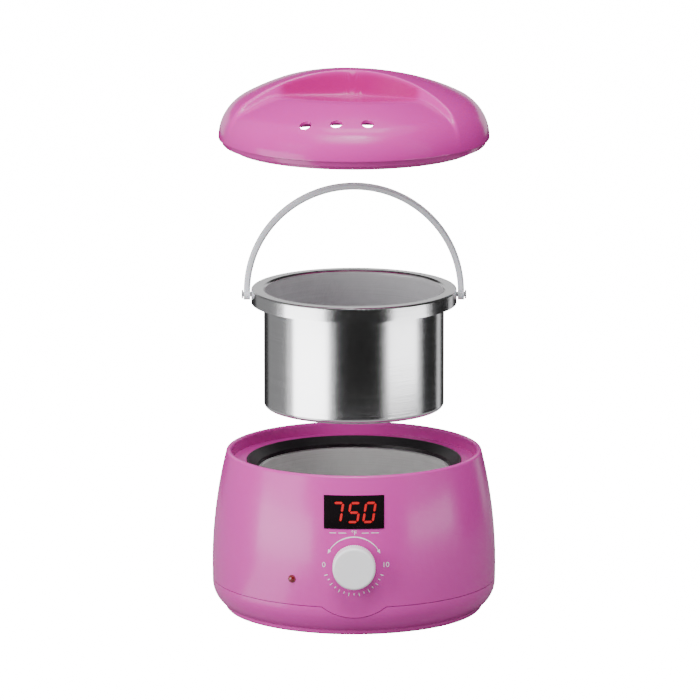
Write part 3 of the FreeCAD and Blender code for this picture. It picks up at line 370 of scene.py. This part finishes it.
@dataclass
class DialPrint:
    """Marks printed on the front: arc arrow, ticks and plain figures."""

    side: Side
    knob_height: float = 49.8
    proud: float = 0.14
    arc_radius: float = 18.6
    arc_ends: tuple[float, float] = (32, 148)
    head_long: float = 2.6
    dash: tuple[float, float, float, float] = (5, 16, 70.7, 71.1)
    points: list[np.ndarray] = field(default_factory=list)
    faces: list[tuple[int, ...]] = field(default_factory=list)

    def add(self, flat: np.ndarray, faces: Iterable[Sequence[int]]) -> None:
        """Add a flat shape to the print."""
        start = sum(len(p) for p in self.points)
        self.points.append(self.side.wrap(flat, self.proud))
        self.faces.extend(tuple(i + start for i in face) for face in faces)

    def polar(self, radius: float, degrees: float) -> tuple[float, float]:
        """Front-view point at a radius and angle about the knob."""
        turn = math.radians(degrees)
        return radius * math.cos(turn), self.knob_height + radius * math.sin(turn)

    def arc(self, radius: float, start: float, end: float, wide: float) -> None:
        """A curved stroke that thins towards its ends."""
        angles = np.linspace(start, end, 49)
        spread = wide * (0.45 + 0.55 * np.sin(np.linspace(0, math.pi, 49)))
        rows = [self.polar(radius + s * w / 2, a) for a, w in zip(angles, spread) for s in (-1, 1)]
        self.add(np.array(rows), [(2 * i, 2 * i + 1, 2 * i + 3, 2 * i + 2) for i in range(48)])

    def head(self, radius: float, degrees: float, forward: float, long: float) -> None:
        """An arrow head that ends the curved stroke."""
        step = math.degrees(long / radius) * forward
        rows = [self.polar(radius - long * 0.42, degrees), self.polar(radius, degrees + step),
                self.polar(radius + long * 0.42, degrees)]
        self.add(np.array(rows), [(0, 1, 2)])

    def tick(self, inner: float, outer: float, degrees: float, wide: float) -> None:
        """A short stroke that points at the knob."""
        half = math.degrees(wide / (inner + outer))
        rows = [self.polar(r, degrees + a) for r, a in
                ((inner, -half), (outer, -half), (outer, half), (inner, half))]
        self.add(np.array(rows), [(0, 1, 2, 3)])

    def text(self, words: str, x: float, height: float, tall: float) -> None:
        """Plain figures laid on the surface, centred at a front-view point."""
        curve = bpy.data.curves.new("figures", "FONT")
        curve.body, curve.size = words, tall * 1.4
        curve.align_x, curve.align_y = "CENTER", "CENTER"
        obj = bpy.data.objects.new("figures", curve)
        bpy.context.scene.collection.objects.link(obj)
        graph = bpy.context.evaluated_depsgraph_get()
        mesh = obj.evaluated_get(graph).to_mesh()
        flat = np.empty(len(mesh.vertices) * 3)
        mesh.vertices.foreach_get("co", flat)
        flat = flat.reshape(-1, 3)[:, :2] + (x, height)
        faces = [tuple(p.vertices) for p in mesh.polygons]
        obj.evaluated_get(graph).to_mesh_clear()
        bpy.data.objects.remove(obj)
        self.add(flat, faces)

    def build(self) -> bpy.types.Object:
        """Draw every mark and return the finished print."""
        right, left = self.arc_ends
        self.arc(self.arc_radius, right, left, 0.8)
        self.head(self.arc_radius, left, 1, self.head_long)
        self.head(self.arc_radius, right, -1, self.head_long)
        for degrees in range(200, 341, 10):
            self.tick(18.2, 19.6 if degrees % 20 else 20.4, degrees, 0.55)
        self.text("0", -19.6, self.knob_height, 3.4)
        self.text("10", 20.6, self.knob_height, 3.4)
        self.text("°F", 0.0, 70.9, 3.0)
        near, far, low, high = self.dash
        for s in (-1, 1):
            row = [(s * near, low), (s * far, low), (s * far, high), (s * near, high)]
            self.add(np.array(row), [(0, 1, 2, 3) if s > 0 else (3, 2, 1, 0)])
        return add_mesh("dial_print", np.vstack(self.points), self.faces, smooth=False)


@dataclass(frozen=True)
class LidForm:
    """Shape of the lid in millimetres, measured from the bottom of its lip."""

    radius: float = 88.5
    edge: float = 4.0
    crown: float = 42.0
    crown_corner: float = 23.0
    ridge: float = 49.0
    ridge_corner: float = 30.0
    ridge_half: float = 5.0
    scoop_arc: float = 96.0
    floor: float = 32.0
    floor_rise: float = 0.0752
    wall: float = 1.82
    level: float = 311.3
    yaw: float = -9.0

    def dome(self, r: np.ndarray, height: float, corner: float) -> np.ndarray:
        """Height of a crown arc that runs tangent into a corner arc."""
        a, b = self.radius, height - self.edge
        big = (a * a + b * b - 2 * a * corner) / (2 * (b - corner))
        meet = (a - corner) * big / (big - corner)
        top = height - big + np.sqrt(np.maximum(big ** 2 - r ** 2, 0))
        side = self.edge + np.sqrt(np.maximum(corner ** 2 - (r - a + corner) ** 2, 0))
        return np.where(r < meet, top, side)

    def scoop_shade(self, x: np.ndarray, y: np.ndarray) -> np.ndarray:
        """Amount of painted shade in the scoops, from 0 on the dome to 1 on their walls, with a
        little on their floors.
        """
        side = np.sign(y)
        past = np.hypot(x, y - side * (self.scoop_arc + self.ridge_half)) - self.scoop_arc
        low = self.dome(np.hypot(x, y), self.crown, self.crown_corner)
        sunk = smooth_step(low - self.floor - self.floor_rise * y * side, 0.3, 3.0)
        wall = smooth_step(past, -4.0, -2.4) * (1 - smooth_step(past, -0.9, 0.3))
        return sunk * np.maximum(0.45 * (past < -2.4), wall)

    def surface(self, x: np.ndarray, y: np.ndarray) -> np.ndarray:
        """Height of the outer surface, with soft edges."""
        r = np.hypot(x, y)
        low = self.dome(r, self.crown, self.crown_corner)
        high = self.dome(r, self.ridge, self.ridge_corner)
        height = high
        for side in (-1, 1):
            floor = self.floor + self.floor_rise * y * side
            base = soft_min(low, floor, 1.6)
            past = np.hypot(x, y - side * (self.scoop_arc + self.ridge_half)) - self.scoop_arc
            raised = smooth_step(past, -3.4, 0.4)
            here = base + (high - base) * raised
            height = np.where(y * side > 0, here, height)
        return height


def soft_min(a: np.ndarray, b: np.ndarray, width: float) -> np.ndarray:
    """Minimum of two heights with a rounded meeting line."""
    h = np.clip(0.5 + 0.5 * (b - a) / width, 0, 1)
    return b * (1 - h) + a * h - width * h * (1 - h)


def smooth_step(value: np.ndarray, start: float, end: float) -> np.ndarray:
    """Ease from 0 at start to 1 at end."""
    t = np.clip((value - start) / (end - start), 0, 1)
    return t * t * (3 - 2 * t)


class LidSculpt:
    """Builds the lid as one closed skin: outside, lip, rib and inside."""

    RINGS = 130
    INNER_RINGS = 44
    STEPS = 440
    INNER_RADIUS = 84.5
    LIP = ((88.3, 3.7), (87.7, 3.5), (86.2, 3.5), (86.0, 3.2), (86.0, 0.5), (85.5, 0.0),
           (80.8, 0.0), (80.6, 0.3), (80.6, 3.6), (79.4, 3.6), (79.4, -2.7), (79.1, -3.0),
           (77.9, -3.0), (77.6, -2.7), (77.6, 6.0))

    def __init__(self, form: LidForm) -> None:
        self.form = form

    def rings(self) -> list[np.ndarray]:
        """Points of every ring from the top, over the rim, to the middle underneath."""
        form = self.form
        turn = np.linspace(0, 2 * math.pi, self.STEPS, endpoint=False)
        cos, sin = np.cos(turn), np.sin(turn)
        rings = []
        for t in np.linspace(0.012, 1, self.RINGS):
            r = form.radius * math.sin(t * math.pi / 2)
            x, y = r * cos, r * sin
            rings.append(np.column_stack([x, y, form.surface(x, y)]))
        for r, z in self.LIP:
            rings.append(np.column_stack([r * cos, r * sin, np.full(self.STEPS, z)]))
        for t in np.linspace(0.93, 0.02, self.INNER_RINGS):
            r = self.INNER_RADIUS * math.sin(t * math.pi / 2)
            x, y = r * cos, r * sin
            rings.append(np.column_stack([x, y, form.surface(x, y) - form.wall]))
        return rings

    def build(self) -> bpy.types.Object:
        """Return the lid at its level and yaw, before its vents are cut."""
        form = self.form
        rings = self.rings()
        top = np.array([[0, 0, form.surface(np.zeros(1), np.zeros(1))[0]]])
        low = top - (0, 0, form.wall)
        points = np.vstack([top, *rings, low])
        # Painted shade: how far each point above the lip takes the lid's painted shade colour.
        depth = form.scoop_shade(points[:, 0], points[:, 1]) * (points[:, 2] > form.edge)
        steps, faces = self.STEPS, []
        for i in range(steps):
            j = (i + 1) % steps
            faces.append((0, 1 + i, 1 + j))
            for k in range(len(rings) - 1):
                a, b = 1 + k * steps, 1 + (k + 1) * steps
                faces.append((a + i, b + i, b + j, a + j))
            a = 1 + (len(rings) - 1) * steps
            faces.append((a + i, len(points) - 1, a + j))
        yaw = math.radians(form.yaw)
        turn = np.array([[math.cos(yaw), -math.sin(yaw), 0], [math.sin(yaw), math.cos(yaw), 0],
                         [0, 0, 1]])
        points = (points @ turn.T + (0, 0, form.level)) * MM
        lid = add_mesh("lid_sculpt", points, faces)
        lid.data.attributes.new(SCOOP_SHADE_ATTRIBUTE, "FLOAT", "POINT").data.foreach_set("value", depth)
        return lid


def drill(obj: bpy.types.Object, tools: Sequence[bpy.types.Object]) -> None:
    """Cut tools out of an object and remove them."""
    for tool in tools:
        modifier = obj.modifiers.new("drill", "BOOLEAN")
        modifier.operation, modifier.solver, modifier.object = "DIFFERENCE", "EXACT", tool
    graph = bpy.context.evaluated_depsgraph_get()
    mesh = bpy.data.meshes.new_from_object(obj.evaluated_get(graph))
    obj.modifiers.clear()
    obj.data = mesh
    for tool in tools:
        bpy.data.objects.remove(tool)


VENTS = ((-20.0, -73.0), (0.0, -73.0), (20.0, -70.0))
VENT_RADIUS = 3.8


def post(name: str, x: float, y: float, low: float, high: float,
         steps: int = 48) -> bpy.types.Object:
    """An upright cylinder of a vent's radius, in millimetres."""
    turn = np.linspace(0, 2 * math.pi, steps, endpoint=False)
    ring = np.column_stack([x + VENT_RADIUS * np.cos(turn), y + VENT_RADIUS * np.sin(turn)])
    points = np.vstack([np.column_stack([ring, np.full(steps, z)]) for z in (low, high)])
    faces = [(i, (i + 1) % steps, steps + (i + 1) % steps, steps + i) for i in range(steps)]
    faces += [tuple(range(steps))[::-1], tuple(range(steps, 2 * steps))]
    return add_mesh(name, points * MM, faces, smooth=False)


def make_lid(library: FinishLibrary) -> None:
    """Sculpt the lid, drill its vents and let it stand for the CAD lid."""
    form = LidForm()
    lid = LidSculpt(form).build()
    yaw = math.radians(form.yaw)
    tools = []
    for x, y in VENTS:
        tools.append(post("vent_tool", x * math.cos(yaw) - y * math.sin(yaw),
                          x * math.sin(yaw) + y * math.cos(yaw), form.level + 10,
                          form.level + 60))
    drill(lid, tools)
    library.dress(lid, "lid_pink")
    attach(lid, "lid")
    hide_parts("lid_shell")


@dataclass(frozen=True)
class Strip:
    """One upright strip of the tent that shiny surfaces mirror.

    Angles are in degrees from the front, positive towards the right; heights in metres.
    """

    start: float
    end: float
    glow: float
    low: float = 0.001
    high: float = 1.25


SPLIT = 0.118
TENT: tuple[Strip, ...] = (
    Strip(-24, 36, 0.004, high=SPLIT), Strip(36, 42, 0.6, high=SPLIT),
    Strip(42, 84, 5.0, 0.045, SPLIT), Strip(84, 92, 0.8, high=SPLIT),
    Strip(92, 128, 0.01, high=SPLIT), Strip(128, 140, 0.9, high=SPLIT),
    Strip(140, 222, 0.02, high=SPLIT), Strip(222, 268, 0.30, high=SPLIT),
    Strip(268, 280, 0.9, high=SPLIT), Strip(280, 328, 8.0, high=SPLIT),
    Strip(328, 336, 0.8, high=SPLIT),
    Strip(-32, 40, 0.05, low=SPLIT), Strip(40, 64, 0.2, low=SPLIT),
    Strip(64, 140, 0.04, low=SPLIT), Strip(140, 222, 0.02, low=SPLIT, high=0.265),
    Strip(140, 222, 0.9, low=0.265, high=0.40), Strip(140, 222, 0.02, low=0.40),
    Strip(222, 278, 0.25, low=SPLIT), Strip(278, 320, 3.0, low=SPLIT, high=0.36),
    Strip(320, 328, 0.3, low=SPLIT), Strip(278, 320, 0.2, low=0.36))
GROUND = Strip(284, 318, 3.0)


class Studio:
    """Pale floor, soft boxes, a tent for the reflections and the camera."""

    TENT_RADIUS = 0.55
    TENT_TOP = 1.25
    WHITE = 16.0
    FILL = 0.5
    LENS = 470.9
    DISTANCE = 6.0
    ELEVATION = math.radians(12.0)
    TARGET = (-0.0026, 0, 0.173)

    def __init__(self) -> None:
        self.cards: dict[float, bpy.types.Material] = {}

    def surface(self, name: str, value: float) -> tuple[bpy.types.Material, Graph, bpy.types.Node]:
        """A plain grey material for studio gear."""
        material = bpy.data.materials.new(name)
        material.use_nodes = True
        graph = Graph(material.node_tree)
        shader = material.node_tree.nodes["Principled BSDF"]
        noise = graph.node("ShaderNodeTexNoise", Scale=2.0)
        spread = graph.node("ShaderNodeMapRange", Value=noise.outputs[0], To_Min=value * 0.99,
                            To_Max=value)
        grey = graph.node("ShaderNodeCombineColor", Red=spread.outputs[0],
                          Green=spread.outputs[0], Blue=spread.outputs[0])
        graph.tree.links.new(grey.outputs[0], shader.inputs["Base Color"])
        shader.inputs["Roughness"].default_value = 0.9
        shader.inputs["Specular IOR Level"].default_value = 0.0
        shader.inputs["Emission Color"].default_value = (1, 1, 1, 1)
        return material, graph, shader

    def card_material(self, glow: float) -> bpy.types.Material:
        """A card of one brightness, made once."""
        if glow not in self.cards:
            material, _, shader = self.surface("card_%g" % glow, 0.01)
            shader.inputs["Emission Strength"].default_value = glow
            self.cards[glow] = material
        return self.cards[glow]

    def card(self, name: str, points: np.ndarray, faces: Sequence[Sequence[int]],
             glow: float) -> None:
        """A card that only shiny surfaces see."""
        obj = add_mesh(name, points, faces, smooth=False)
        obj.data.materials.append(self.card_material(glow))
        obj.visible_camera = obj.visible_diffuse = obj.visible_shadow = False
        obj.visible_transmission = False

    def tent(self) -> None:
        """Strips all round and a few cards overhead."""
        for number, strip in enumerate(TENT):
            turn = np.radians(np.linspace(strip.start, strip.end, 9))
            rows = [np.column_stack([self.TENT_RADIUS * np.sin(turn),
                                     -self.TENT_RADIUS * np.cos(turn), np.full(9, z)])
                    for z in (strip.low, strip.high)]
            self.card("strip_%d" % number, np.vstack(rows),
                      [(i, i + 1, i + 10, i + 9) for i in range(8)], strip.glow)
        turn = np.radians(np.linspace(GROUND.start, GROUND.end, 9))
        rows = [np.column_stack([r * np.sin(turn), -r * np.cos(turn), np.full(9, 0.0015)])
                for r in (0.14, self.TENT_RADIUS)]
        self.card("ground", np.vstack(rows), [(i, i + 1, i + 10, i + 9) for i in range(8)],
                  GROUND.glow)
        tops = ((-0.6, -0.6, 0.6, 0.6, 0.0, 0.8), (-0.11, -0.47, 0.13, -0.30, -0.01, 7.0),
                (-0.2, -0.1, 0.25, 0.2, -0.01, 4.0))
        for number, (x0, y0, x1, y1, drop, glow) in enumerate(tops):
            z = self.TENT_TOP + drop
            corners = np.array([(x0, y0, z), (x1, y0, z), (x1, y1, z), (x0, y1, z)])
            self.card("top_%d" % number, corners, [(0, 1, 2, 3)], glow)

    def soft_box(self, name: str, place: Sequence[float], aim: Sequence[float], wide: float,
                 tall: float, power: float, glossy: bool = False) -> None:
        """A rectangular area light that looks at a point."""
        light = bpy.data.lights.new(name, "AREA")
        light.shape, light.size, light.size_y, light.energy = "RECTANGLE", wide, tall, power
        obj = bpy.data.objects.new(name, light)
        obj.location = place
        obj.rotation_euler = (Vector(aim) - Vector(place)).to_track_quat("-Z", "Y").to_euler()
        obj.visible_glossy = glossy
        bpy.context.scene.collection.objects.link(obj)

    def floor(self) -> None:
        """A plain floor that the camera sees as bright as the background."""
        material, graph, shader = self.surface("studio_floor", 0.30)
        seen = graph.node("ShaderNodeLightPath").outputs["Is Camera Ray"]
        graph.tree.links.new(graph.math("MULTIPLY", seen, self.WHITE),
                             shader.inputs["Emission Strength"])
        corners = np.array([(-14, -14, 0), (14, -14, 0), (14, 22, 0), (-14, 22, 0)], dtype=float)
        obj = add_mesh("floor", corners, [(0, 1, 2, 3)], smooth=False)
        obj.data.materials.append(material)

    def world(self) -> None:
        """White surroundings: bright behind the object, softer as a fill light."""
        world = bpy.data.worlds.new("studio_world")
        bpy.context.scene.world = world
        world.use_nodes = True
        graph = Graph(world.node_tree)
        seen = graph.node("ShaderNodeLightPath").outputs["Is Camera Ray"]
        back = world.node_tree.nodes["Background"]
        back.inputs["Color"].default_value = (1.0, 1.0, 1.0, 1)
        graph.tree.links.new(graph.math("MULTIPLY_ADD", seen, self.WHITE, self.FILL),
                             back.inputs["Strength"])

    def build(self) -> None:
        """Put up the studio."""
        self.floor()
        self.world()
        self.tent()
        aim = (0, 0, 0.17)
        self.soft_box("left_box", (-1.35, -0.95, 0.8), aim, 0.7, 1.2, 32)
        self.soft_box("right_box", (1.5, -0.9, 0.9), aim, 0.4, 1.2, 6)
        self.soft_box("top_box", (-0.1, -0.75, 1.7), (0, 0, 0.2), 0.9, 0.6, 32, glossy=True)
        self.camera()

    def camera(self) -> None:
        """A long lens in front, a little above."""
        data = bpy.data.cameras.new("camera")
        data.sensor_width, data.lens = 36.0, self.LENS
        data.clip_start, data.clip_end = 0.1, 60.0
        obj = bpy.data.objects.new("camera", data)
        target = Vector(self.TARGET)
        back = Vector((0, -math.cos(self.ELEVATION), math.sin(self.ELEVATION)))
        obj.location = target + back * self.DISTANCE
        obj.rotation_euler = (target - obj.location).to_track_quat("-Z", "Y").to_euler()
        bpy.context.scene.collection.objects.link(obj)
        bpy.context.scene.camera = obj


def dress_nodes(library: FinishLibrary) -> None:
    """Give every CAD node the finish of its material slot."""
    slots = {part["node"]: part["material_slot"] for part in frame["record"]["subparts"]}
    for node, obj in frame["nodes"].items():
        library.dress(obj, slots[node])


def main() -> None:
    """Build the looks."""
    logging.basicConfig(level=logging.INFO)
    library = FinishLibrary(FINISHES)
    dress_nodes(library)
    make_lid(library)
    marks = DialPrint(Side()).build()
    library.dress(marks, "print_white")
    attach(marks, "base")
    Studio().build()


if __name__ == "__main__":
    main()
